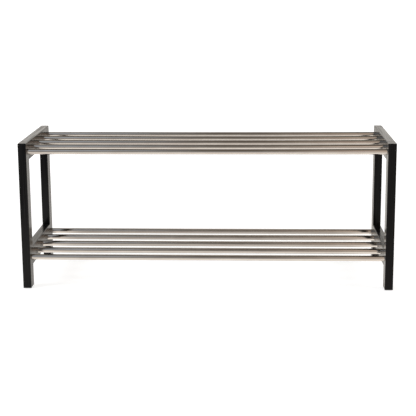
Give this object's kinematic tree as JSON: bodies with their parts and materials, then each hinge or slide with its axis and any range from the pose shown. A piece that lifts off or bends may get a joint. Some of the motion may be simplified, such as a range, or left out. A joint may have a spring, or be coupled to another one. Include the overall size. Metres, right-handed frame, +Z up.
{
  "type": "entryway bench",
  "caption": "Low entryway bench: two black timber end frames joined by plated steel tubes that form a slatted seat and a shoe shelf below it.",
  "frame": {"origin": "on the floor under the middle of the bench", "axes": "+X along the bench to the right as seen from the front, +Y from front to back, +Z up"},
  "size_m": [1.12, 0.35, 0.45],
  "materials": {
    "black_timber": "satin",
    "plated_tube": "polished",
    "dowel_wood": "matte",
    "black_steel": "satin",
    "zinc_steel": "satin",
    "glide_plastic": "matte"
  },
  "bodies": {
    "root": {"left_front_leg": "black_timber", "left_rear_leg": "black_timber", "right_front_leg": "black_timber", "right_rear_leg": "black_timber", "left_seat_rail": "black_timber", "left_shelf_rail": "black_timber", "right_seat_rail": "black_timber", "right_shelf_rail": "black_timber", "seat_tube_1": "plated_tube", "seat_tube_2": "plated_tube", "seat_tube_3": "plated_tube", "seat_tube_4": "plated_tube", "seat_tube_5": "plated_tube", "shelf_tube_1": "plated_tube", "shelf_tube_2": "plated_tube", "shelf_tube_3": "plated_tube", "shelf_tube_4": "plated_tube", "shelf_tube_5": "plated_tube", "left_seat_rail_dowels": "dowel_wood", "left_shelf_rail_dowels": "dowel_wood", "right_seat_rail_dowels": "dowel_wood", "right_shelf_rail_dowels": "dowel_wood", "left_connecting_bolts": "black_steel", "right_connecting_bolts": "black_steel", "seat_tube_threaded_plugs": "zinc_steel", "shelf_tube_threaded_plugs": "zinc_steel", "left_front_glide": "glide_plastic", "left_rear_glide": "glide_plastic", "right_front_glide": "glide_plastic", "right_rear_glide": "glide_plastic", "glide_nails": "zinc_steel"}
  },
  "joints": []
}
